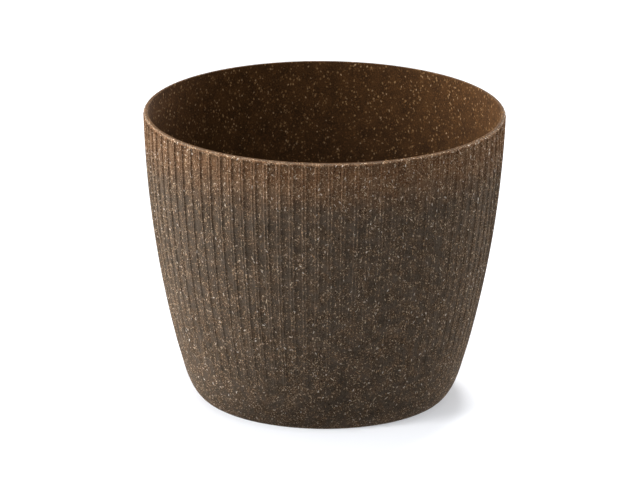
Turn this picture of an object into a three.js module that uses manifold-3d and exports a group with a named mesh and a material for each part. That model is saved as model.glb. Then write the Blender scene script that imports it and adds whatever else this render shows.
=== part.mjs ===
// A round tapered plant pot with a finely ribbed wall, and the push-in stopper of its drain hole.
// Millimetres, +Z up. The origin is the centre of the base, on the surface that the pot stands on.
import * as THREE from 'three';
import { mergeVertices } from 'three/addons/utils/BufferGeometryUtils.js';
import Module from 'manifold-3d';

const wasm = await Module();
wasm.setup();

// Outer form
const rimDiameter = 160; // over the lip, which is level with the rib crests
const potHeight = 130;
const baseDiameter = 115; // where the curve of the wall would meet the ground, before the corner is rounded
const wallBow = 4.7; // how far the wall curves out past the straight line from base to rim
const baseCornerRise = 16.5; // height at which the rounding of the base leaves the wall
const baseCornerReach = 6.1; // how far it runs along the ground, inwards from where the wall points

// Moulded shell
const wallThickness = 1.6; // from the bottom of a valley between ribs to the inner face
const floorThickness = 2.6;
const innerCornerRadius = 12;
const lipRadius = 1.5; // the rim is rounded over on the outside
const rimEdge = 0.3; // broken edge on the inside
const footRecess = 2; // the underside is lifted this far inside the standing ring
const footRingWidth = 4;
const footDraft = 0.6; // the recess narrows by this much on its way up

// Ribs down the wall: each has two crests with a fine groove between them
const ribCount = 87;
const ribWidth = 2.6; // measured at the rim, and narrowing with the pot
const ribCrestSpacing = 1.6;
const crownGrooveDepth = 0.35;
const ribHeightAtRim = 0.5;
const ribHeightAtBase = 0.1;
const ribFade = 1.5; // above 1, the ribs sink faster near the rim than near the base
const ribRunIn = 0.8; // length over which the ribs leave the lip
const ribRunOut = 7; // length over which the ribs die out above the base corner

// Drain hole and the spacers that hold an inner pot clear of the water
const drainHoleDiameter = 16;
const spacerCount = 6;
const spacerWidth = 2.4;
const spacerDraft = 0.4; // each side of a spacer leans in by this much
const spacerHeight = 3;
const spacerLength = 24;
const spacerInset = 4; // from the end of a spacer to the edge of the stopper's flange
const spacerRoot = 0.5; // depth that a spacer is let into the floor

// Stopper
const plugClearance = 0.3; // around the shank, and under the flange
const plugFlangeDiameter = 24;
const plugFlangeThickness = 1.6;
const plugFlangeEdge = 0.5;
const plugCrown = 0.5; // rise of the top of the stopper towards its middle
const plugWall = 1.5; // of the hollow shank
const plugReach = 0.9; // how far the shank stands out under the floor
const plugLeadIn = 0.5; // bevel at the end of the shank

// Facets
const wallSteps = 6;
const cornerSteps = 5;
const lipSteps = 3;
const plugSteps = 48;

const rimRadius = rimDiameter / 2;
const floorTop = footRecess + floorThickness;
const pitch = 2 * Math.PI / ribCount;

// The wall is an arc through the base and the rim. Its inner face is a smaller arc about the same centre.
const wallArc = bowedArc(
  new THREE.Vector2(baseDiameter / 2, 0),
  new THREE.Vector2(rimRadius - ribHeightAtRim, potHeight),
  wallBow
);

// Finds the circle of an arc that bows out to the right of the line between two points.
function bowedArc(from, to, bow) {
  const chord = to.clone().sub(from);
  const radius = (chord.lengthSq() / 4 + bow * bow) / (2 * bow);
  const inward = new THREE.Vector2(-chord.y, chord.x).normalize();
  const center = from.clone().add(to).multiplyScalar(0.5).addScaledVector(inward, radius - bow);
  return { center, radius };
}

function arcRadiusAt(arc, z) {
  return arc.center.x + Math.sqrt(arc.radius ** 2 - (z - arc.center.y) ** 2);
}

// Rounds the corner between a flat floor at a height and the wall arc above it, from the floor to the wall.
function cornerPoints(arc, floorHeight, radius) {
  const z = floorHeight + radius;
  const inner = { center: arc.center, radius: arc.radius - radius };
  const x = arcRadiusAt(inner, z);
  const wallAngle = Math.atan2(z - arc.center.y, x - arc.center.x);
  return new THREE.EllipseCurve(x, z, radius, radius, -Math.PI / 2, wallAngle).getPoints(cornerSteps);
}

// The outer corner of the base, from the standing ring to the wall. It runs further up than inwards.
function baseCornerPoints() {
  const top = new THREE.Vector2(arcRadiusAt(wallArc, baseCornerRise), baseCornerRise);
  const outward = top.clone().sub(wallArc.center);
  const knee = new THREE.Vector2(top.x + baseCornerRise * outward.y / outward.x, 0);
  const foot = new THREE.Vector2(knee.x - baseCornerReach, 0);
  return new THREE.QuadraticBezierCurve(foot, knee, top).getPoints(cornerSteps);
}

function lipPoints() {
  const x = rimRadius - lipRadius;
  const y = potHeight - lipRadius;
  return new THREE.EllipseCurve(x, y, lipRadius, lipRadius, 0, Math.PI / 2).getPoints(lipSteps);
}

// Points up the arc between two heights, the first and last included.
function wallPoints(arc, low, high) {
  const from = Math.asin((low - arc.center.y) / arc.radius);
  const to = Math.asin((high - arc.center.y) / arc.radius);
  const { x, y } = arc.center;
  return new THREE.EllipseCurve(x, y, arc.radius, arc.radius, from, to).getPoints(wallSteps);
}

// Turns a closed geometry into a solid, without the triangles that have shrunk to a line.
function toSolid(geometry) {
  geometry.deleteAttribute('normal');
  geometry.deleteAttribute('uv');
  const merged = mergeVertices(geometry);
  const corners = merged.index.array;
  const triangles = [];
  for (let i = 0; i < corners.length; i += 3) {
    const [a, b, c] = corners.slice(i, i + 3);
    if (a !== b && b !== c && c !== a) triangles.push(a, b, c);
  }
  const vertProperties = merged.attributes.position.array;
  const triVerts = new Uint32Array(triangles);
  return new wasm.Manifold(new wasm.Mesh({ numProp: 3, vertProperties, triVerts }));
}

function toMesh(name, solid, color, roughness) {
  const { vertProperties, triVerts } = solid.getMesh();
  const geometry = new THREE.BufferGeometry();
  geometry.setAttribute('position', new THREE.BufferAttribute(vertProperties, 3));
  geometry.setIndex(new THREE.BufferAttribute(triVerts, 1));
  geometry.computeVertexNormals();
  const mesh = new THREE.Mesh(geometry, new THREE.MeshStandardMaterial({ color, roughness, metalness: 0 }));
  mesh.name = name;
  return mesh;
}

function revolve(profile, segments) {
  return new THREE.LatheGeometry(profile, segments).rotateX(Math.PI / 2);
}

// Section of one rib: where each point lies across the rib, and how much of the rib's height it has.
function ribSection() {
  const half = ribWidth / 2 / rimRadius;
  const crest = ribCrestSpacing / 2 / rimRadius;
  const groove = 1 - crownGrooveDepth / ribHeightAtRim;
  return [
    { angle: -half, rise: 0 },
    { angle: -crest, rise: 1 },
    { angle: 0, rise: groove },
    { angle: crest, rise: 1 },
    { angle: half, rise: 0 }
  ];
}

// Revolves the outside of the pot, then pushes its vertices out into ribs. On a plain ring, below the ribs
// and on the lip, the points of a rib's section all meet in one.
function ribbedOutside() {
  const low = baseCornerRise + ribRunOut;
  const high = potHeight - lipRadius - ribRunIn;
  const plain = (point) => ({ point, ribHeight: 0, spread: 0 });
  const ribbed = (point) => {
    const share = (point.y - low) / (high - low);
    const ribHeight = THREE.MathUtils.lerp(ribHeightAtBase, ribHeightAtRim, share ** ribFade);
    return { point, ribHeight, spread: 1 };
  };
  const rings = [
    plain(new THREE.Vector2(0, 0)),
    ...baseCornerPoints().map(plain),
    ...wallPoints(wallArc, low, high).map(ribbed),
    ...lipPoints().map(plain),
    plain(new THREE.Vector2(0, potHeight))
  ];
  const section = ribSection();
  const outside = revolve(rings.map((ring) => ring.point), ribCount * section.length);
  const position = outside.attributes.position;
  for (let i = 0; i < position.count; i++) {
    const column = Math.floor(i / rings.length);
    const { point, ribHeight, spread } = rings[i % rings.length];
    const rib = Math.floor(column / section.length) % ribCount;
    const { angle, rise } = section[column % section.length];
    const turn = (rib + 0.5) * pitch + angle * spread; // a valley faces the front
    const radius = point.x + ribHeight * rise;
    position.setXYZ(i, radius * Math.sin(turn), -radius * Math.cos(turn), point.y);
  }
  return toSolid(outside);
}

// The room for the plant, open past the rim.
function cavity() {
  const innerArc = { center: wallArc.center, radius: wallArc.radius - wallThickness };
  const corner = cornerPoints(innerArc, floorTop, innerCornerRadius);
  const wall = wallPoints(innerArc, corner.at(-1).y, potHeight - rimEdge);
  const mouth = wall.at(-1).x + rimEdge;
  const above = potHeight + rimEdge;
  const profile = [
    new THREE.Vector2(0, floorTop),
    ...corner,
    ...wall.slice(1),
    new THREE.Vector2(mouth, potHeight),
    new THREE.Vector2(mouth, above),
    new THREE.Vector2(0, above)
  ];
  return toSolid(revolve(profile, ribCount));
}

// The lifted underside inside the standing ring, open to the ground.
function underside() {
  const mouth = baseCornerPoints()[0].x - footRingWidth;
  const profile = [
    new THREE.Vector2(0, -footRecess),
    new THREE.Vector2(mouth, -footRecess),
    new THREE.Vector2(mouth, 0),
    new THREE.Vector2(mouth - footDraft, footRecess),
    new THREE.Vector2(0, footRecess)
  ];
  return toSolid(revolve(profile, ribCount));
}

function drainHole() {
  const length = 2 * floorTop;
  const hole = new THREE.CylinderGeometry(drainHoleDiameter / 2, drainHoleDiameter / 2, length, plugSteps);
  return toSolid(hole.rotateX(Math.PI / 2).translate(0, 0, floorTop / 2));
}

// A low radial rib on the inner floor, with leaning sides.
function spacer(index) {
  const foot = spacerWidth / 2;
  const top = foot - spacerDraft;
  const shape = new THREE.Shape([
    new THREE.Vector2(-foot, -spacerRoot),
    new THREE.Vector2(foot, -spacerRoot),
    new THREE.Vector2(foot, 0),
    new THREE.Vector2(top, spacerHeight),
    new THREE.Vector2(-top, spacerHeight),
    new THREE.Vector2(-foot, 0)
  ]);
  const bar = new THREE.ExtrudeGeometry(shape, { depth: spacerLength, bevelEnabled: false });
  bar.rotateX(Math.PI / 2);
  bar.translate(0, -(plugFlangeDiameter / 2 + spacerInset), floorTop);
  return toSolid(bar.rotateZ(index * 2 * Math.PI / spacerCount));
}

function potBody() {
  let solid = ribbedOutside().subtract(cavity()).subtract(underside()).subtract(drainHole());
  for (let i = 0; i < spacerCount; i++) solid = solid.add(spacer(i));
  return toMesh('pot_body', solid, 0x4f4135, 0.62);
}

// A soft hollow stopper: its flange lies on the inner floor, and a finger from below pushes it out.
function drainPlug() {
  const flange = plugFlangeDiameter / 2;
  const shank = drainHoleDiameter / 2 - plugClearance;
  const hollow = shank - plugWall;
  const end = -(plugClearance + floorThickness + plugReach);
  const profile = [
    new THREE.Vector2(0, 0),
    new THREE.Vector2(hollow, 0),
    new THREE.Vector2(hollow, end),
    new THREE.Vector2(shank - plugLeadIn, end),
    new THREE.Vector2(shank, end + plugLeadIn),
    new THREE.Vector2(shank, 0),
    new THREE.Vector2(flange, 0),
    new THREE.Vector2(flange, plugFlangeThickness - plugFlangeEdge),
    new THREE.Vector2(flange - plugFlangeEdge, plugFlangeThickness),
    new THREE.Vector2(shank, plugFlangeThickness),
    new THREE.Vector2(0, plugFlangeThickness + plugCrown)
  ];
  const plug = toMesh('drain_plug', toSolid(revolve(profile, plugSteps)), 0x2a2521, 0.75);
  plug.position.z = floorTop + plugClearance;
  return plug;
}

const plantPot = new THREE.Group();
plantPot.add(potBody(), drainPlug());

export default plantPot;
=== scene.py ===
import math
import random

import bpy
import bmesh
from mathutils import Matrix, Vector


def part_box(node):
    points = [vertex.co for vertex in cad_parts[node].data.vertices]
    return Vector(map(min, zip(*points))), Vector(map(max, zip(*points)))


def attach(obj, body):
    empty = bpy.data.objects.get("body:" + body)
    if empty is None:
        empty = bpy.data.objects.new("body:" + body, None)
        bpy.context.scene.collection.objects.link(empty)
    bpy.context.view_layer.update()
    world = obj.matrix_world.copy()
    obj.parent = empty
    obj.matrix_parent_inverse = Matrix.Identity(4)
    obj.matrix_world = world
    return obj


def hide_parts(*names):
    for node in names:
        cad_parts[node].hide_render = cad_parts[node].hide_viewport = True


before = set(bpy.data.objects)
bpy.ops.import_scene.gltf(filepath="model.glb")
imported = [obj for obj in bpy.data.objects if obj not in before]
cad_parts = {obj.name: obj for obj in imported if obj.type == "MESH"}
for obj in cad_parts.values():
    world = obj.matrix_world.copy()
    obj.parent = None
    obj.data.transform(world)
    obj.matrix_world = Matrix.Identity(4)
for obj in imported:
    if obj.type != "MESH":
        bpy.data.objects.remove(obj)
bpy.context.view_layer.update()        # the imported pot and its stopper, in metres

mm = 0.001
random.seed(87)
print("frame loaded:", sorted(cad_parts))


def linearColor(hexValue):
    # sRGB hex to the linear values that shaders work in
    parts = [int(hexValue[i:i + 2], 16) / 255 for i in (1, 3, 5)]
    return tuple(c / 12.92 if c <= 0.04045 else ((c + 0.055) / 1.055) ** 2.4 for c in parts) + (1.0,)


def addNode(tree, kind, settings={}, inputs={}):
    # an input goes by name or number: a Mix of colours takes them at 6 and 7 and gives its result at 2
    node = tree.nodes.new(kind)
    for name, value in settings.items():
        setattr(node, name, value)
    for key, value in inputs.items():
        if isinstance(value, bpy.types.NodeSocket):
            tree.links.new(value, node.inputs[key])
        else:
            node.inputs[key].default_value = value
    return node


def newMaterial(name):
    material = bpy.data.materials.new(name)
    material.use_nodes = True
    material.node_tree.nodes.clear()
    return material, material.node_tree


pieces = []


def newPiece(name, mesh, material, body):
    piece = bpy.data.objects.new(name, mesh)
    bpy.context.scene.collection.objects.link(piece)
    mesh.materials.append(material)
    for face in mesh.polygons:
        face.use_smooth = True
    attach(piece, body)
    pieces.append(piece)
    return piece


# camera: a long lens a little above the rim, as in the photo
view = {
    "distance": 3302 * mm,
    "elevation": 17.674,     # degrees above the horizon
    "roll": 0.467,           # the photo leans this much clockwise
    "aimHeight": 64 * mm,    # the point on the pot's axis that the pixel below shows
    "aimPixel": (323.425, 253.67),
    "framePixels": (640, 480),
    "focalPixels": 7449.0,
    "sensorWidth": 36,
    "farClip": 50,           # metres
}


def addCamera():
    data = bpy.data.cameras.new("photoCamera")
    data.sensor_width = view["sensorWidth"]
    data.lens = view["focalPixels"] / view["framePixels"][0] * data.sensor_width
    data.clip_end = view["farClip"]
    camera = bpy.data.objects.new("photoCamera", data)
    bpy.context.scene.collection.objects.link(camera)
    turn = Matrix.Rotation(math.radians(90 - view["elevation"]), 4, "X")
    turn = turn @ Matrix.Rotation(math.radians(view["roll"]), 4, "Z")
    right, up, back = (turn.to_3x3().col[i] for i in range(3))
    perPixel = view["distance"] / view["focalPixels"]
    aside = [(view["aimPixel"][i] - view["framePixels"][i] / 2) * perPixel for i in (0, 1)]
    place = Vector((0, 0, view["aimHeight"])) + back * view["distance"] - right * aside[0] + up * aside[1]
    camera.matrix_world = Matrix.Translation(place) @ turn
    bpy.context.scene.camera = camera


addCamera()
print("camera set")


# wood-fibre plastic: polypropylene filled with ground wood, injection moulded and unpainted. The eye sees
# matt brown resin crowded with wood flecks, from dark bark and tan dust to short cream fibres.
woodPlastic = {
    "outer": ("#493e34", "#6c5e52"),      # darkest and palest resin of the wall
    "rim": ("#543b2a", "#856850"),        # the same, warmer and paler, used towards the rim
    "inner": ("#2e1e10", "#4b321b"),      # the inner skin is richer in resin
    "rimWarm": (100 * mm, 126 * mm),      # heights between which the wall turns to the rim's colours
    "lipGrey": (129.3 * mm, 129.9 * mm),  # and between which the lip turns back from them
    "footShade": (45 * mm, 0.94),         # below this height the pot, inside and out, is darkened with painted shade, down to this share
    "footPaintedLight": (9 * mm, 0.6),           # and below this one, on the outer skin, painted bounce light lifts it paler again, by this share
    "innerShadeHeights": (80 * mm, 122 * mm),     # heights between which painted shade deep in the pot turns to painted light near the rim
    "innerShadeAndLight": (-0.45, 0.06),           # and the shares of that painted shade and painted light
    "grain": 0.5 * mm,                    # wood dust in the resin, drawn coarser than it is to show
    "cloud": 6 * mm,                      # size of the darker and paler clouds in the resin
    "cloudShare": 0.6,                    # their weight against the grain
    "resinNoise": (0.58, 1.02),           # noise that gives the darkest and the palest resin
    "draw": 0.8,                          # flecks lie longer up the wall, the way the pot leaves its mould
    "swirl": (1.2 * mm, 0.5 * mm),        # size of the eddies that bend the flecks, and how far
    "cluster": 4 * mm,                    # size of the places that hold more or fewer flecks
    "clusterNoise": (0.3, 0.7),           # noise at which they hold the fewest and the most
    "crowd": (0.2, 1.7),                  # and how many that is, as shares of the usual number
    "dustNoise": (0.35, 0.65),            # noise at which the resin is free of dust and full of it
    "dustTint": ("#f4f7f7", "#fff7ec"),   # and what that does to its colour
    "rimFlecks": 0.8,                     # more flecks towards the top of the wall
    "crestFlecks": 1.5,                   # and more flecks on the crests, fewer in the groove, following the painted rib highlight and shade
    "paintedRibStrength": 0.44,                    # strength of the painted highlight on the crests and the painted shade in the groove and beside the rib
    "crestDash": (0.5 * mm, 0.35),        # width of the dashes, and how much they are stretched up the wall
    "dashNoise": (0.46, 0.57),            # noise between which a dash fades in
    "fleckStrength": (0.5, 1.0),          # how clearly the faintest and the strongest flecks show
    "fleckRelief": 0.5,                   # how far flecks stand out, as a share of the skin's own relief
    "skin": 0.8 * mm,                     # size of the moulded skin's unevenness
    "bump": (0.5, 0.1 * mm),              # strength and depth of the relief
    "roughness": (0.85, 1.0),             # resin and bare wood
    "ior": 1.49,
    "specular": 0.05,                     # the filler leaves hardly any gloss
    # each kind of fleck: spacing, half width and half length, share of the places that hold one, how clear
    # its edge is (1 is sharp), colours
    "outerFlecks": [
        {"cell": 1.1 * mm, "wide": 0.25 * mm, "long": 0.45 * mm, "share": 0.5, "clear": 0.5,
         "colors": ("#1f170f", "#33281d")},
        {"cell": 0.65 * mm, "wide": 0.16 * mm, "long": 0.36 * mm, "share": 0.85, "clear": 0.5,
         "colors": ("#80614a", "#caac8c")},
        {"cell": 1.0 * mm, "wide": 0.2 * mm, "long": 0.55 * mm, "share": 0.9, "clear": 0.5,
         "colors": ("#a07d5c", "#dfcaae")},
        {"cell": 1.7 * mm, "wide": 0.25 * mm, "long": 0.8 * mm, "share": 0.45, "clear": 0.5,
         "colors": ("#be9c7c", "#f1e7da")},
        {"cell": 2.6 * mm, "wide": 0.18 * mm, "long": 1.5 * mm, "share": 0.7, "clear": 0.5,
         "colors": ("#ad865f", "#e5d3b8")},
    ],
    # under the inner skin they show as round soft grains
    "innerFlecks": [
        {"cell": 0.8 * mm, "wide": 0.3 * mm, "long": 0.42 * mm, "share": 0.8, "clear": 0.0,
         "colors": ("#452c17", "#6b4a2a")},
        {"cell": 1.5 * mm, "wide": 0.48 * mm, "long": 0.6 * mm, "share": 0.8, "clear": 0.0,
         "colors": ("#5f4328", "#94744f")},
        {"cell": 1.9 * mm, "wide": 0.42 * mm, "long": 0.52 * mm, "share": 0.5, "clear": 0.1,
         "colors": ("#75593c", "#ac8e6d")},
    ],
}


def addFlecks(tree, place, plenty, show, base, spec):
    # every Voronoi cell holds at most one fleck: an ellipsoid about its centre
    cells = addNode(tree, "ShaderNodeTexVoronoi", {}, {"Vector": place, "Scale": 1 / spec["cell"]})
    lot = addNode(tree, "ShaderNodeTexWhiteNoise", {}, {"Vector": cells.outputs["Position"]})
    offset = addNode(tree, "ShaderNodeVectorMath", {"operation": "SUBTRACT"},
                     {0: place, 1: cells.outputs["Position"]})
    lean = addNode(tree, "ShaderNodeVectorMath", {"operation": "SUBTRACT"},
                   {0: cells.outputs["Color"], 1: (0.5, 0.5, 0.5)})
    # the melt laid them along the wall, so the part of the lean that points through it is taken out
    level = addNode(tree, "ShaderNodeVectorMath", {"operation": "MULTIPLY"},
                    {0: cells.outputs["Position"], 1: (1, 1, 0)})
    radial = addNode(tree, "ShaderNodeVectorMath", {"operation": "NORMALIZE"}, {0: level.outputs[0]})
    through = addNode(tree, "ShaderNodeVectorMath", {"operation": "DOT_PRODUCT"},
                      {0: lean.outputs[0], 1: radial.outputs[0]})
    outward = addNode(tree, "ShaderNodeVectorMath", {"operation": "SCALE"},
                      {0: radial.outputs[0], "Scale": through.outputs["Value"]})
    laid = addNode(tree, "ShaderNodeVectorMath", {"operation": "SUBTRACT"},
                   {0: lean.outputs[0], 1: outward.outputs[0]})
    way = addNode(tree, "ShaderNodeVectorMath", {"operation": "NORMALIZE"}, {0: laid.outputs[0]})
    along = addNode(tree, "ShaderNodeVectorMath", {"operation": "DOT_PRODUCT"},
                    {0: offset.outputs[0], 1: way.outputs[0]})
    alongSquare = addNode(tree, "ShaderNodeMath", {"operation": "MULTIPLY"},
                          {0: along.outputs["Value"], 1: along.outputs["Value"]})
    square = addNode(tree, "ShaderNodeVectorMath", {"operation": "DOT_PRODUCT"},
                     {0: offset.outputs[0], 1: offset.outputs[0]})
    # across^2 / wide^2 + along^2 / long^2, from the whole square and the part along the fleck
    shrink = 1 / spec["long"] ** 2 - 1 / spec["wide"] ** 2
    whole = addNode(tree, "ShaderNodeMath", {"operation": "MULTIPLY"},
                    {0: square.outputs["Value"], 1: 1 / spec["wide"] ** 2})
    reach = addNode(tree, "ShaderNodeMath", {"operation": "MULTIPLY_ADD"},
                    {0: alongSquare.outputs[0], 1: shrink, 2: whole.outputs[0]})
    inside = addNode(tree, "ShaderNodeMapRange", {"interpolation_type": "SMOOTHSTEP"},
                     {"Value": reach.outputs[0], "From Min": 1.0, "From Max": spec["clear"]})
    chance = addNode(tree, "ShaderNodeMath", {"operation": "MULTIPLY"}, {0: plenty, 1: spec["share"]})
    held = addNode(tree, "ShaderNodeMath", {"operation": "LESS_THAN"},
                   {0: lot.outputs["Value"], 1: chance.outputs[0]})
    mask = addNode(tree, "ShaderNodeMath", {"operation": "MULTIPLY"},
                   {0: inside.outputs[0], 1: held.outputs[0]})
    shade = addNode(tree, "ShaderNodeSeparateColor", {}, {"Color": lot.outputs["Color"]})
    color = addNode(tree, "ShaderNodeMix", {"data_type": "RGBA"},
                    {"Factor": shade.outputs["Green"], 6: linearColor(spec["colors"][0]),
                     7: linearColor(spec["colors"][1])})
    faint, clear = woodPlastic["fleckStrength"]
    strength = addNode(tree, "ShaderNodeMapRange", {},
                       {"Value": shade.outputs["Blue"], "To Min": faint, "To Max": clear})
    shown = addNode(tree, "ShaderNodeMath", {"operation": "MULTIPLY"}, {0: strength.outputs[0], 1: show})
    amount = addNode(tree, "ShaderNodeMath", {"operation": "MULTIPLY"},
                     {0: mask.outputs[0], 1: shown.outputs[0]})
    mixed = addNode(tree, "ShaderNodeMix", {"data_type": "RGBA"},
                    {"Factor": amount.outputs[0], 6: base, 7: color.outputs[2]})
    return mixed.outputs[2], amount.outputs[0]


def makeWoodPlastic():
    material, tree = newMaterial("mouldedWoodFibrePlastic")
    place = addNode(tree, "ShaderNodeTexCoord").outputs["Object"]
    # painted rib highlight and shade, read from the mesh
    paintedRib = addNode(tree, "ShaderNodeAttribute", {"attribute_name": "paintedRibLight"}).outputs["Fac"]
    outer = addNode(tree, "ShaderNodeAttribute", {"attribute_name": "outerSkin"}).outputs["Fac"]
    height = addNode(tree, "ShaderNodeSeparateXYZ", {}, {0: place}).outputs["Z"]
    inner = addNode(tree, "ShaderNodeMath", {"operation": "SUBTRACT"}, {0: 1.0, 1: outer}).outputs[0]
    drawn = addNode(tree, "ShaderNodeVectorMath", {"operation": "MULTIPLY"},
                    {0: place, 1: (1, 1, woodPlastic["draw"])}).outputs[0]
    grain = addNode(tree, "ShaderNodeTexNoise", {},
                    {"Vector": drawn, "Scale": 1 / woodPlastic["grain"], "Detail": 2.0})
    clouds = addNode(tree, "ShaderNodeTexNoise", {},
                     {"Vector": place, "Scale": 1 / woodPlastic["cloud"], "Detail": 3.0})
    shade = addNode(tree, "ShaderNodeMath", {"operation": "MULTIPLY_ADD"},
                    {0: clouds.outputs[0], 1: woodPlastic["cloudShare"], 2: grain.outputs[0]})
    low, high = woodPlastic["resinNoise"]
    depth = addNode(tree, "ShaderNodeMapRange", {},
                    {"Value": shade.outputs[0], "From Min": low, "From Max": high})
    resins = {}
    for part in ("outer", "rim", "inner"):
        dark, pale = (linearColor(c) for c in woodPlastic[part])
        resins[part] = addNode(tree, "ShaderNodeMix", {"data_type": "RGBA"},
                               {"Factor": depth.outputs[0], 6: dark, 7: pale}).outputs[2]
    low, high = woodPlastic["rimWarm"]
    rimWarm = addNode(tree, "ShaderNodeMapRange", {"interpolation_type": "SMOOTHSTEP"},
                      {"Value": height, "From Min": low, "From Max": high})
    low, high = woodPlastic["lipGrey"]
    lipGrey = addNode(tree, "ShaderNodeMapRange", {"interpolation_type": "SMOOTHSTEP"},
                      {"Value": height, "From Min": low, "From Max": high, "To Min": 1.0, "To Max": 0.0})
    warmth = addNode(tree, "ShaderNodeMath", {"operation": "MULTIPLY"},
                     {0: rimWarm.outputs[0], 1: lipGrey.outputs[0]})
    wall = addNode(tree, "ShaderNodeMix", {"data_type": "RGBA"},
                   {"Factor": warmth.outputs[0], 6: resins["outer"], 7: resins["rim"]})
    clusters = addNode(tree, "ShaderNodeTexNoise", {},
                       {"Vector": place, "Scale": 1 / woodPlastic["cluster"], "Detail": 1.0})
    low, high = woodPlastic["dustNoise"]
    gathered = addNode(tree, "ShaderNodeMapRange", {},
                       {"Value": clusters.outputs[0], "From Min": low, "From Max": high})
    between, among = (linearColor(c) for c in woodPlastic["dustTint"])
    tint = addNode(tree, "ShaderNodeMix", {"data_type": "RGBA"},
                   {"Factor": gathered.outputs[0], 6: between, 7: among})
    dusty = addNode(tree, "ShaderNodeMix", {"data_type": "RGBA", "blend_type": "MULTIPLY"},
                    {"Factor": 1.0, 6: wall.outputs[2], 7: tint.outputs[2]})
    color = addNode(tree, "ShaderNodeMix", {"data_type": "RGBA"},
                    {"Factor": outer, 6: resins["inner"], 7: dusty.outputs[2]}).outputs[2]
    (low, high), (few, many) = woodPlastic["clusterNoise"], woodPlastic["crowd"]
    crowd = addNode(tree, "ShaderNodeMapRange", {},
                    {"Value": clusters.outputs[0], "From Min": low, "From Max": high, "To Min": few,
                     "To Max": many})
    topWall = addNode(tree, "ShaderNodeMath", {"operation": "MULTIPLY"}, {0: warmth.outputs[0], 1: outer})
    risen = addNode(tree, "ShaderNodeMath", {"operation": "MULTIPLY_ADD"},
                    {0: topWall.outputs[0], 1: woodPlastic["rimFlecks"], 2: crowd.outputs[0]})
    plenty = addNode(tree, "ShaderNodeMath", {"operation": "MULTIPLY_ADD"},
                     {0: paintedRib, 1: woodPlastic["crestFlecks"], 2: risen.outputs[0]}).outputs[0]
    eddy, bend = woodPlastic["swirl"]
    eddies = addNode(tree, "ShaderNodeTexNoise", {}, {"Vector": drawn, "Scale": 1 / eddy, "Detail": 2.0})
    aside = addNode(tree, "ShaderNodeVectorMath", {"operation": "SUBTRACT"},
                    {0: eddies.outputs["Color"], 1: (0.5, 0.5, 0.5)})
    bent = addNode(tree, "ShaderNodeVectorMath", {"operation": "MULTIPLY_ADD"},
                   {0: aside.outputs[0], 1: (2 * bend, 2 * bend, 2 * bend), 2: drawn}).outputs[0]
    fibre = 0.0
    for where, specs in ((outer, woodPlastic["outerFlecks"]), (inner, woodPlastic["innerFlecks"])):
        for spec in specs:
            color, amount = addFlecks(tree, bent, plenty, where, color, spec)
            fibre = addNode(tree, "ShaderNodeMath", {"operation": "MAXIMUM"},
                            {0: fibre, 1: amount}).outputs[0]
    # the painted highlight and shade along the ribs is broken into dashes
    dash, stretch = woodPlastic["crestDash"]
    tall = addNode(tree, "ShaderNodeVectorMath", {"operation": "MULTIPLY"}, {0: place, 1: (1, 1, stretch)})
    dashes = addNode(tree, "ShaderNodeTexNoise", {},
                     {"Vector": tall.outputs[0], "Scale": 1 / dash, "Detail": 1.0})
    low, high = woodPlastic["dashNoise"]
    broken = addNode(tree, "ShaderNodeMapRange", {},
                     {"Value": dashes.outputs[0], "From Min": low, "From Max": high, "To Min": 0.0,
                      "To Max": woodPlastic["paintedRibStrength"]})
    paintedRibLevel = addNode(tree, "ShaderNodeMath", {"operation": "MULTIPLY_ADD"},
                     {0: paintedRib, 1: broken.outputs[0], 2: 1.0})
    # painted shade towards the foot, inside and out
    shadeTop, shadeShare = woodPlastic["footShade"]
    foot = addNode(tree, "ShaderNodeMapRange", {"interpolation_type": "SMOOTHSTEP"},
                   {"Value": height, "From Max": shadeTop, "To Min": shadeShare})
    # painted bounce light on the outer skin at the very foot
    footLightTop, footLightShare = woodPlastic["footPaintedLight"]
    footLight = addNode(tree, "ShaderNodeMapRange", {"interpolation_type": "SMOOTHSTEP"},
                    {"Value": height, "From Max": footLightTop, "To Min": footLightShare, "To Max": 0.0})
    footShadeAndLight = addNode(tree, "ShaderNodeMath", {"operation": "MULTIPLY_ADD"},
                      {0: footLight.outputs[0], 1: outer, 2: foot.outputs[0]})
    # painted shade deep inside the pot, turning to painted light near the rim
    (low, high), (deep, pale) = woodPlastic["innerShadeHeights"], woodPlastic["innerShadeAndLight"]
    innerShadeAndLight = addNode(tree, "ShaderNodeMapRange", {},
                        {"Value": height, "From Min": low, "From Max": high, "To Min": deep,
                         "To Max": pale})
    paintedShadeAndLight = addNode(tree, "ShaderNodeMath", {"operation": "MULTIPLY_ADD"},
                    {0: innerShadeAndLight.outputs[0], 1: inner, 2: footShadeAndLight.outputs[0]})
    # all the painted light and shade together, which scales the colour
    level = addNode(tree, "ShaderNodeMath", {"operation": "MULTIPLY"},
                    {0: paintedRibLevel.outputs[0], 1: paintedShadeAndLight.outputs[0]})
    color = addNode(tree, "ShaderNodeVectorMath", {"operation": "SCALE"},
                    {0: color, "Scale": level.outputs[0]}).outputs[0]
    # wood stands a little rougher than the resin skin
    smoothest, roughest = woodPlastic["roughness"]
    gloss = addNode(tree, "ShaderNodeMapRange", {},
                    {"Value": fibre, "To Min": smoothest, "To Max": roughest})
    skin = addNode(tree, "ShaderNodeTexNoise", {},
                   {"Vector": drawn, "Scale": 1 / woodPlastic["skin"], "Detail": 3.0})
    relief = addNode(tree, "ShaderNodeMath", {"operation": "MULTIPLY_ADD"},
                     {0: fibre, 1: woodPlastic["fleckRelief"], 2: skin.outputs[0]})
    strength, distance = woodPlastic["bump"]
    bump = addNode(tree, "ShaderNodeBump", {},
                   {"Strength": strength, "Distance": distance, "Height": relief.outputs[0]})
    shader = addNode(tree, "ShaderNodeBsdfPrincipled", {},
                     {"Base Color": color, "Roughness": gloss.outputs[0], "IOR": woodPlastic["ior"],
                      "Specular IOR Level": woodPlastic["specular"], "Normal": bump.outputs[0]})
    addNode(tree, "ShaderNodeOutputMaterial", {}, {"Surface": shader.outputs[0]})
    return material


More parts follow.
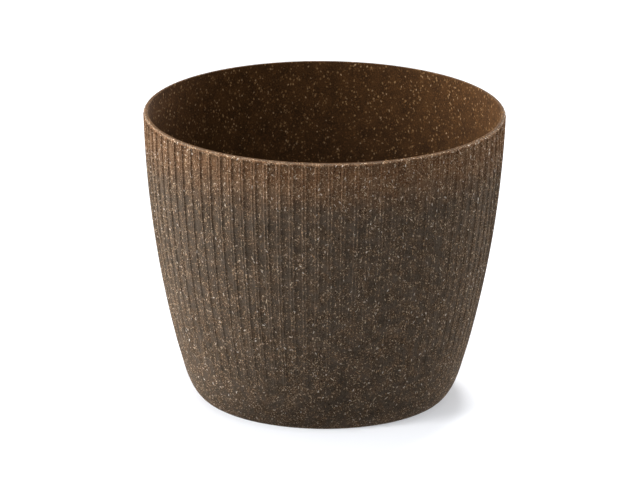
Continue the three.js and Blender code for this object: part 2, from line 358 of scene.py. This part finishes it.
# soft stopper: dark thermoplastic rubber, moulded with a fine matt spark texture. The eye sees a dull,
# nearly black brown with a faint bloom.
softRubber = {
    "colors": ("#2b221b", "#3a3029"),   # rubber, and where it has bloomed
    "bloom": 6 * mm,                    # size of the bloomed patches
    "spark": 0.5 * mm,                  # the mould's texture, drawn coarser than it is to show
    "bump": (0.4, 0.05 * mm),           # strength and depth of it
    "roughness": (0.77, 0.93),
    "ior": 1.5,
    "specular": 0.1,
}


def makeSoftRubber():
    material, tree = newMaterial("mouldedSoftRubber")
    place = addNode(tree, "ShaderNodeTexCoord").outputs["Object"]
    bloom = addNode(tree, "ShaderNodeTexNoise", {},
                    {"Vector": place, "Scale": 1 / softRubber["bloom"], "Detail": 4.0})
    dark, pale = (linearColor(c) for c in softRubber["colors"])
    color = addNode(tree, "ShaderNodeMix", {"data_type": "RGBA"},
                    {"Factor": bloom.outputs[0], 6: dark, 7: pale})
    spark = addNode(tree, "ShaderNodeTexNoise", {},
                    {"Vector": place, "Scale": 1 / softRubber["spark"], "Detail": 2.0})
    smoothest, roughest = softRubber["roughness"]
    rough = addNode(tree, "ShaderNodeMapRange", {},
                    {"Value": bloom.outputs[0], "To Min": smoothest, "To Max": roughest})
    strength, distance = softRubber["bump"]
    bump = addNode(tree, "ShaderNodeBump", {},
                   {"Strength": strength, "Distance": distance, "Height": spark.outputs[0]})
    shader = addNode(tree, "ShaderNodeBsdfPrincipled", {},
                     {"Base Color": color.outputs[2], "Roughness": rough.outputs[0],
                      "IOR": softRubber["ior"], "Specular IOR Level": softRubber["specular"],
                      "Normal": bump.outputs[0]})
    addNode(tree, "ShaderNodeOutputMaterial", {}, {"Surface": shader.outputs[0]})
    return material


woodMaterial = makeWoodPlastic()
rubberMaterial = makeSoftRubber()
print("materials made")


# pot: millimetres here, metres once a point is made
pot = {
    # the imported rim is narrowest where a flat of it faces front
    "rimDiameter": -2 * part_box("pot_body")[0][1] / mm,
    "height": 130.0,
    "baseDiameter": 115.0,   # where the curve of the wall would meet the ground
    "wallBow": 4.7,          # the wall curves out this far past the straight line
    "cornerRise": 16.5,      # the rounding of the base leaves the wall at this height
    "cornerReach": 6.1,      # and runs this far along the ground
    "wall": 1.4,             # from a valley between ribs to the inner face
    "floor": 2.6,
    "innerCorner": 12.0,
    "lip": 1.5,              # the rim is rounded over on the outside
    "lipSkin": 0.15,         # its top is part outer skin, part inner
    "rimEdge": 0.3,          # and it has a nearly sharp inner edge
    "footRecess": 2.0,
    "footRing": 4.0,
    "footDraft": 0.6,
    "drainHole": 16.0,
    "edgeRound": 0.35,       # broken edges of the hole and the standing ring
    "columnsPerRib": 4,      # on the plain surfaces
    "innerRings": 22,        # up the inner face
}
ribs = {
    "count": 87,
    "width": 2.6,            # at the rim
    "crestSpacing": 1.6,
    "groove": 0.3,           # depth of the fine groove between a rib's two crests
    "heightAtRim": 0.7,
    "heightAtBase": 0.1,
    "fade": 1.3,             # the ribs sink faster below the rim than a straight taper would
    "start": 62.0,           # degrees up the lip at which the valleys begin
    "runIn": 0.8,            # the valleys have their whole depth this far below the lip
    "runOut": 9.0,
    "uneven": 0.12,          # share by which a rib's height wanders
    "waves": (11.0, 20.0, 29.0),   # lengths of that wandering
    "crestLine": 0.25,       # half width of the painted highlight on a crest
    "darkLine": 0.3,         # half width of the painted shade lines in the groove and beside the rib
    "darkShare": 0.7,        # their painted shade against the painted highlight
    "darkOffset": 0.15,      # from the foot of the rib to the painted shade line beside it
    "lipRings": (50, 38, 26, 13, 0),           # degrees up the lip
    "runInRings": (0.25, 0.5, 0.75, 1.0),      # shares of the run in
    "runOutRings": (0.25, 0.45, 0.6, 0.75, 0.9),
    "wallRings": 26,
    # where the wall's columns lie across a pitch, from the middle of the rib
    "columns": (-1.45, -1.2, -1.05, -0.9, -0.75, -0.5, -0.25, 0, 0.25, 0.5, 0.75, 0.9, 1.05, 1.2, 1.45,
                2.85),
}


def bowedArc(low, high, bow):
    # centre and radius of an arc that bows outwards between two profile points
    chord = Vector(high) - Vector(low)
    radius = (chord.length_squared / 4 + bow * bow) / (2 * bow)
    inward = Vector((-chord.y, chord.x)).normalized()
    return (Vector(low) + Vector(high)) / 2 + inward * (radius - bow), radius


wallFoot = (pot["baseDiameter"] / 2, 0)
wallTop = (pot["rimDiameter"] / 2 - ribs["heightAtRim"], pot["height"])
wallCenter, wallRadius = bowedArc(wallFoot, wallTop, pot["wallBow"])


def radiusAt(z, inset=0.0):
    # radius of the wall at a height, or of a face that lies inset under it
    return wallCenter.x + math.sqrt((wallRadius - inset) ** 2 - (z - wallCenter.y) ** 2)


def arcPoints(center, radius, fromDegrees, toDegrees, steps):
    turns = [math.radians(fromDegrees + (toDegrees - fromDegrees) * i / steps) for i in range(steps + 1)]
    return [(center[0] + radius * math.cos(t), center[1] + radius * math.sin(t)) for t in turns]


def cornerBetween(floorHeight, inset, radius, steps):
    # rounds the corner between a floor and the wall, from the floor upwards
    z = floorHeight + radius
    r = radiusAt(z, inset + radius)
    wallTurn = math.degrees(math.atan2(z - wallCenter.y, r - wallCenter.x))
    return arcPoints((r, z), radius, -90, wallTurn, steps)


def baseCorner(steps):
    # the outer corner of the base, from the ground to the wall, running further up than inwards
    top = Vector((radiusAt(pot["cornerRise"]), pot["cornerRise"]))
    outward = top - wallCenter
    knee = Vector((top.x + pot["cornerRise"] * outward.y / outward.x, 0))
    foot = knee - Vector((pot["cornerReach"], 0))
    shares = [i / steps for i in range(steps + 1)]
    return [tuple(foot * (1 - t) ** 2 + knee * 2 * t * (1 - t) + top * t * t) for t in shares]


def straight(start, end, steps):
    return [(start[0] + (end[0] - start[0]) * i / steps, start[1] + (end[1] - start[1]) * i / steps)
            for i in range(steps + 1)]


def smooth(t):
    t = min(max(t, 0.0), 1.0)
    return t * t * (3 - 2 * t)


def ribRise(across):
    # height of a rib's section as a share of the whole, at a distance in mm from its middle
    side = abs(across)
    crest, foot = ribs["crestSpacing"] / 2, ribs["width"] / 2
    if side < crest:
        dip = ribs["groove"] / ribs["heightAtRim"]
        return 1 - dip * (1 + math.cos(math.pi * side / crest)) / 2
    return 1 - smooth((side - crest) / (foot - crest))


def paintedRibLight(across):
    # painted highlight on the two crests, painted shade in the groove and along the foot of the rib
    side = abs(across)
    crest, foot = ribs["crestSpacing"] / 2, ribs["width"] / 2

    def line(center, width):
        return math.exp(-((side - center) / width) ** 2)
    dark = line(0, ribs["darkLine"]) + line(foot + ribs["darkOffset"], ribs["darkLine"])
    return line(crest, ribs["crestLine"]) - ribs["darkShare"] * dark


def plainOutline():
    # three stretches of the profile: under the pot to the drain hole, the inside up to the rim, and the rim
    rim, high, edge, lip = pot["rimDiameter"] / 2, pot["height"], pot["edgeRound"], pot["lip"]
    floorTop = pot["footRecess"] + pot["floor"]
    hole = pot["drainHole"] / 2
    base = baseCorner(steps=12)
    ringIn = base[0][0] - pot["footRing"]
    recess = ringIn - pot["footDraft"]
    under = list(reversed(base))[1:]
    under += straight((base[0][0], 0), (ringIn + edge, 0), steps=3)[1:]
    under += arcPoints((ringIn + edge, edge), edge, -90, -180, steps=3)[1:]
    under += straight((ringIn, edge), (recess, pot["footRecess"] - edge), steps=2)[1:]
    under += arcPoints((recess - edge, pot["footRecess"] - edge), edge, 0, 90, steps=3)[1:]
    under += straight((recess - edge, pot["footRecess"]), (hole + edge, pot["footRecess"]), steps=6)[1:]
    under += arcPoints((hole + edge, pot["footRecess"] + edge), edge, -90, -180, steps=3)[1:]
    under += straight((hole, pot["footRecess"] + edge), (hole, floorTop - edge), steps=2)[1:]
    inside = arcPoints((hole + edge, floorTop - edge), edge, 180, 90, steps=3)[1:]
    corner = cornerBetween(floorTop, pot["wall"], pot["innerCorner"], steps=9)
    inside += straight((hole + edge, floorTop), corner[0], steps=7)[1:]
    inside += corner[1:]
    low = corner[-1][1]
    for i in range(1, pot["innerRings"] + 1):
        z = low + (high - pot["rimEdge"] - low) * i / pot["innerRings"]
        inside.append((radiusAt(z, pot["wall"]), z))
    innerTop = inside[-1][0]
    sharp = pot["rimEdge"]
    lipArc = arcPoints((innerTop + sharp, high - sharp), sharp, 180, 90, steps=4)[1:]
    lipArc += straight(lipArc[-1], (rim - lip, high), steps=1)[1:]
    lipArc += arcPoints((rim - lip, high - lip), lip, 90, ribs["start"], steps=3)[1:-1]
    return under, inside, lipArc


def ribbedRings():
    # rings down the wall: height, how deep the valleys are cut, how much of the ribs is left, and whether
    # the columns are spread evenly
    lip, lipFoot = pot["lip"], pot["height"] - pot["lip"]
    start = lipFoot + lip * math.sin(math.radians(ribs["start"]))
    top, low = lipFoot - ribs["runIn"], pot["cornerRise"] + ribs["runOut"]
    heights = [lipFoot + lip * math.sin(math.radians(a)) for a in ribs["lipRings"]]
    heights += [lipFoot - ribs["runIn"] * t for t in ribs["runInRings"]]
    rings = [(start, 0.0, 1.0, 1.0)]
    rings += [(z, smooth((start - z) / (start - top)), 1.0, 0.0) for z in heights]
    many = ribs["wallRings"]
    rings += [(top + (low - top) * i / many, 1.0, 1.0, 0.0) for i in range(1, many + 1)]
    rings += [(low - ribs["runOut"] * t, 1.0, 1 - smooth(t), 0.0) for t in ribs["runOutRings"]]
    rings += [(pot["cornerRise"], 1.0, 0.0, 1.0)]
    return rings


def buildPot():
    mesh = bmesh.new()
    # painted rib highlight and shade, kept on the vertices
    paintedRibLayer = mesh.verts.layers.float.new("paintedRibLight")
    skinLayer = mesh.verts.layers.float.new("outerSkin")
    pitch = 2 * math.pi / ribs["count"]
    rim = pot["rimDiameter"] / 2
    dense = len(ribs["columns"])
    plainColumns = ribs["count"] * pot["columnsPerRib"]
    phases = [[random.uniform(0, 2 * math.pi) for wave in ribs["waves"]] for k in range(ribs["count"])]

    def plainRing(r, z, skin):
        ring = []
        for i in range(plainColumns):
            turn = (i + 0.5) * 2 * math.pi / plainColumns
            vert = mesh.verts.new((r * mm * math.sin(turn), -r * mm * math.cos(turn), z * mm))
            vert[skinLayer] = skin
            ring.append(vert)
        return ring

    def crestRadius(z, high):
        # over the lip the crests follow its round, and below it they settle on the wall
        lip, lipFoot = pot["lip"], pot["height"] - pot["lip"]
        if z > lipFoot:
            return rim - lip + math.sqrt(lip * lip - (z - lipFoot) ** 2)
        settled = smooth((lipFoot - z) / ribs["runIn"])
        return rim * (1 - settled) + (radiusAt(z) + high) * settled

    def ribbedRing(z, cut, left, even):
        ring = []
        share = z / pot["height"]
        tall = ribs["heightAtBase"] + (ribs["heightAtRim"] - ribs["heightAtBase"]) * share ** ribs["fade"]
        for k in range(ribs["count"]):
            waves = [math.sin(z / wave + phase) for wave, phase in zip(ribs["waves"], phases[k])]
            wander = sum(waves) / len(waves)
            high = tall * left * (1 + ribs["uneven"] * wander * cut)
            for i, across in enumerate(ribs["columns"]):
                section = ribRise(across)
                turn = across / rim * (1 - even) + (i + 0.5 - dense / 2) / dense * pitch * even
                turn += (k + 0.5) * pitch
                r = crestRadius(z, high) - high * cut * (1 - section)
                vert = mesh.verts.new((r * mm * math.sin(turn), -r * mm * math.cos(turn), z * mm))
                # painted rib highlight and shade, fading with the ribs down the wall
                vert[paintedRibLayer] = left * cut * share ** ribs["fade"] * paintedRibLight(across)
                vert[skinLayer] = 1.0
                ring.append(vert)
        return ring

    def join(upper, lower):
        if len(upper) == len(lower):
            for i in range(len(upper)):
                j = (i + 1) % len(upper)
                mesh.faces.new((upper[i], lower[i], lower[j], upper[j]))
            return
        # one side has more columns: each face takes several of them
        step = max(len(upper), len(lower)) // min(len(upper), len(lower))
        for i in range(min(len(upper), len(lower))):
            if len(upper) > len(lower):
                many = [upper[(i * step + n) % len(upper)] for n in range(step + 1)]
                mesh.faces.new([lower[i], lower[(i + 1) % len(lower)]] + many[::-1])
            else:
                many = [lower[(i * step + n) % len(lower)] for n in range(step + 1)]
                mesh.faces.new(many + [upper[(i + 1) % len(upper)], upper[i]])

    ringList = [ribbedRing(*ring) for ring in ribbedRings()]
    under, inside, lipArc = plainOutline()
    ringList += [plainRing(r, z, 1.0) for r, z in under]
    ringList += [plainRing(r, z, 0.0) for r, z in inside]
    ringList += [plainRing(r, z, pot["lipSkin"]) for r, z in lipArc]
    for n, ring in enumerate(ringList):
        join(ring, ringList[(n + 1) % len(ringList)])
    bmesh.ops.recalc_face_normals(mesh, faces=mesh.faces)
    data = bpy.data.meshes.new("ribbedPot")
    mesh.to_mesh(data)
    mesh.free()
    piece = newPiece("ribbed_pot", data, woodMaterial, "pot")
    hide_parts("pot_body")
    print("pot:", len(data.polygons), "faces")


buildPot()


# low bars on the inner floor, moulded with it
spacer = {
    "count": 6,
    "width": 2.4,            # at the floor, without the flare of its root
    "draft": 0.4,            # each side leans in by this much
    "height": 3.0,
    "length": 24.0,
    "inset": 16.0,           # from the axis to the near end
    # half of the section: distance past the edge of the top, and height over the floor
    "rootCurve": ((1.1, -0.1), (0.61, 0.18), (0.32, 0.7)),
    "topCurve": ((0.1, 0.5), (-0.08, 0.14), (-0.4, 0.0)),   # here depth under the top
    # the rounded ends: distance from the end, and share of the whole section there
    "endCurve": ((0.0, 0.02), (0.1, 0.35), (0.35, 0.62), (0.75, 0.87), (1.2, 1.0)),
    "endWidth": 0.35,        # share of the width that is left at the tip
    "stations": (0.25, 0.5, 0.75),   # more sections between the ends, at shares of the length
}


def buildSpacers():
    mesh = bmesh.new()
    floorTop = pot["footRecess"] + pot["floor"]
    half = spacer["width"] / 2 - spacer["draft"]
    side = [(half + aside, z) for aside, z in spacer["rootCurve"]]
    side += [(half + aside, spacer["height"] - depth) for aside, depth in spacer["topCurve"]]
    section = side + [(-x, z) for x, z in reversed(side)]
    stations = list(spacer["endCurve"])
    stations += [(spacer["length"] * t, 1.0) for t in spacer["stations"]]
    stations += [(spacer["length"] - along, size) for along, size in reversed(spacer["endCurve"])]
    for n in range(spacer["count"]):
        turn = Matrix.Rotation(2 * math.pi * n / spacer["count"], 4, "Z")
        rows = []
        for along, size in stations:
            row = []
            for aside, z in section:
                x = aside * (spacer["endWidth"] + (1 - spacer["endWidth"]) * size)
                up = floorTop + (z * size if z > 0 else z)
                row.append(mesh.verts.new(turn @ Vector((x, -(spacer["inset"] + along), up)) * mm))
            rows.append(row)
        for a, b in zip(rows[:-1], rows[1:]):
            for i in range(len(section)):
                j = (i + 1) % len(section)
                mesh.faces.new((a[i], a[j], b[j], b[i]))
        mesh.faces.new(rows[0])
        mesh.faces.new(rows[-1][::-1])
    bmesh.ops.recalc_face_normals(mesh, faces=mesh.faces)
    data = bpy.data.meshes.new("floorSpacers")
    mesh.to_mesh(data)
    mesh.free()
    newPiece("floor_spacers", data, woodMaterial, "pot")
    print("spacers:", spacer["count"])


buildSpacers()


# stopper: a flange on the inner floor and a hollow shank through the drain hole
stopper = {
    "clearance": 0.3,        # round the shank and under the flange
    "flange": 24.0,
    "thick": 1.6,
    "crown": 0.5,            # the flange domes up by this much over the shank
    "crownRings": (0.98, 0.9, 0.75, 0.55, 0.35, 0.15),   # shares of the shank's radius
    "wall": 1.5,             # of the hollow shank
    "reach": 0.9,            # the shank comes out under the floor by this much
    "round": 0.45,           # the outer edges
    "innerRound": 0.3,       # under the flange, and inside the end of the shank
    "roofRound": 0.6,        # between the hollow's wall and its roof
    "roofRise": 0.05,        # the roof domes from this far under the flange's face to this far over it
    "roofMiddle": 1.2,       # radius of the flat in its middle
    "hollowDraft": 0.1,      # the hollow widens towards its mouth
    "grooveOffset": 1.2,     # from the shank to the ring groove on the flange
    "grooveDepth": 0.3,
    "grooveHalf": 0.5,
    "columns": 96,
}


def buildStopper():
    mesh = bmesh.new()
    seat = pot["footRecess"] + pot["floor"] + stopper["clearance"]
    shank = pot["drainHole"] / 2 - stopper["clearance"]
    hollow = shank - stopper["wall"]
    end = -(stopper["clearance"] + pot["floor"] + stopper["reach"])
    flange, thick, edge = stopper["flange"] / 2, stopper["thick"], stopper["round"]
    inner, roof, rise = stopper["innerRound"], stopper["roofRound"], stopper["roofRise"]
    mouth = hollow + stopper["hollowDraft"]
    groove, half = shank + stopper["grooveOffset"], stopper["grooveHalf"]
    outline = straight((hollow - roof, -rise), (stopper["roofMiddle"], rise), steps=5)[::-1]
    outline += arcPoints((hollow - roof, -rise - roof), roof, 90, 0, steps=4)[1:]
    outline += straight((hollow, -rise - roof), (mouth, end + inner), steps=3)[1:]
    outline += arcPoints((mouth + inner, end + inner), inner, 180, 270, steps=3)[1:]
    outline += arcPoints((shank - edge, end + edge), edge, -90, 0, steps=4)
    outline += straight((shank, end + edge), (shank, -inner), steps=3)[1:]
    outline += arcPoints((shank + inner, -inner), inner, 180, 90, steps=3)[1:]
    outline += straight((shank + inner, 0), (flange - edge, 0), steps=3)[1:]
    outline += arcPoints((flange - edge, edge), edge, -90, 0, steps=4)[1:]
    outline += arcPoints((flange - edge, thick - edge), edge, 0, 90, steps=4)
    outline += straight((flange - edge, thick), (groove + half, thick), steps=2)[1:]
    # the groove's section from its outer to its inner edge: place across it, and share of its depth
    for across, depth in ((0.6, 0.4), (0, 1), (-0.6, 0.4), (-1, 0)):
        outline.append((groove + half * across, thick - stopper["grooveDepth"] * depth))
    outline += [(shank * t, thick + stopper["crown"] * (1 - t * t)) for t in stopper["crownRings"]]
    rings = []
    turns = [2 * math.pi * i / stopper["columns"] for i in range(stopper["columns"])]
    for r, z in outline:
        places = [Vector((r * math.sin(t), -r * math.cos(t), seat + z)) for t in turns]
        rings.append([mesh.verts.new(place * mm) for place in places])
    for a, b in zip(rings[:-1], rings[1:]):
        for i in range(stopper["columns"]):
            j = (i + 1) % stopper["columns"]
            mesh.faces.new((a[i], a[j], b[j], b[i]))
    mesh.faces.new(rings[0])
    mesh.faces.new(rings[-1][::-1])
    bmesh.ops.recalc_face_normals(mesh, faces=mesh.faces)
    data = bpy.data.meshes.new("drainStopper")
    mesh.to_mesh(data)
    mesh.free()
    piece = newPiece("drain_stopper", data, rubberMaterial, "plug")
    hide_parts("drain_plug")
    print("stopper:", len(data.polygons), "faces")


buildStopper()


# white table under lamps of its own, and for the pot a high key from the left, lower lamps from behind on
# both sides and a weak one from the front
studio = {
    "tableSeen": "#f0f2f6",     # a cold white, so that the shadow is a cold grey
    "tableBounce": "#7e7e7e",   # what the table throws back on the object
    "tableReach": 12.0,         # metres from the pot to the table's edges
    "ambient": 0.05,            # a white sky all round
    # strength in units that show white paper square to the lamp as white, degrees from the front, degrees
    # up, and the degrees of sky that the lamp fills
    "potLamps": {
        "key": {"strength": 2.26, "azimuth": -90.0, "elevation": 50.0, "softness": 60.0},
        "low": {"strength": 1.29, "azimuth": -115.0, "elevation": 10.0, "softness": 60.0},
        "fill": {"strength": 2.12, "azimuth": 140.0, "elevation": 10.0, "softness": 60.0},
        "front": {"strength": 0.49, "azimuth": 40.0, "elevation": 50.0, "softness": 60.0},
    },
    "tableLamps": {
        "tableSky": {"strength": 0.53, "azimuth": -60.0, "elevation": 55.0, "softness": 120.0},
        "tableLeft": {"strength": 1.38, "azimuth": -60.0, "elevation": 12.0, "softness": 25.0},
        "tableFront": {"strength": 2.43, "azimuth": 0.0, "elevation": 12.0, "softness": 10.0},
        "tableTop": {"strength": 0.56, "azimuth": 150.0, "elevation": 75.0, "softness": 10.0},
    },
}


def addLamp(name, spec, receivers):
    lamp = bpy.data.lights.new(name + "Lamp", "SUN")
    lamp.energy = spec["strength"] * math.pi
    lamp.angle = math.radians(spec["softness"])
    holder = bpy.data.objects.new(name + "Lamp", lamp)
    bpy.context.scene.collection.objects.link(holder)
    a, e = math.radians(spec["azimuth"]), math.radians(spec["elevation"])
    toLamp = Vector((math.sin(a) * math.cos(e), -math.cos(a) * math.cos(e), math.sin(e)))
    holder.rotation_euler = toLamp.to_track_quat("Z", "Y").to_euler()
    holder.light_linking.receiver_collection = receivers


def buildStudio():
    # the eye sees the lit table, a gloss or glass sees plain white, and the object gets a weaker bounce
    material, tree = newMaterial("matteWhiteTable")
    path = addNode(tree, "ShaderNodeLightPath")
    paint = addNode(tree, "ShaderNodeMix", {"data_type": "RGBA"},
                    {"Factor": path.outputs["Is Camera Ray"], 6: linearColor(studio["tableBounce"]),
                     7: linearColor(studio["tableSeen"])})
    diffuse = addNode(tree, "ShaderNodeBsdfDiffuse", {}, {"Color": paint.outputs[2]})
    mirrored = addNode(tree, "ShaderNodeMath", {"operation": "MAXIMUM"},
                       {0: path.outputs["Is Glossy Ray"], 1: path.outputs["Is Transmission Ray"]})
    white = addNode(tree, "ShaderNodeEmission", {}, {"Strength": 1.0})
    both = addNode(tree, "ShaderNodeMixShader", {},
                   {"Fac": mirrored.outputs[0], 1: diffuse.outputs[0], 2: white.outputs[0]})
    addNode(tree, "ShaderNodeOutputMaterial", {}, {"Surface": both.outputs[0]})
    mesh = bpy.data.meshes.new("table")
    reach = studio["tableReach"]
    corners = [(-reach, -reach, 0), (reach, -reach, 0), (reach, reach, 0), (-reach, reach, 0)]
    mesh.from_pydata(corners, [], [(0, 1, 2, 3)])
    mesh.materials.append(material)
    table = bpy.data.objects.new("table", mesh)
    bpy.context.scene.collection.objects.link(table)

    world = bpy.data.worlds.new("whiteStudio")
    bpy.context.scene.world = world
    world.use_nodes = True
    tree = world.node_tree
    tree.nodes.clear()
    sky = addNode(tree, "ShaderNodeBackground", {}, {"Strength": studio["ambient"]})
    addNode(tree, "ShaderNodeOutputWorld", {}, {"Surface": sky.outputs[0]})

    # each lamp falls on the object or on the table, so that the shadow is apart from the modelling light
    wares, furniture = bpy.data.collections.new("litWares"), bpy.data.collections.new("litTable")
    for piece in pieces:
        wares.objects.link(piece)
    furniture.objects.link(table)
    for name, spec in studio["potLamps"].items():
        addLamp(name, spec, wares)
    for name, spec in studio["tableLamps"].items():
        addLamp(name, spec, furniture)


buildStudio()
bpy.context.scene.view_settings.view_transform = "Standard"
print("studio lit")
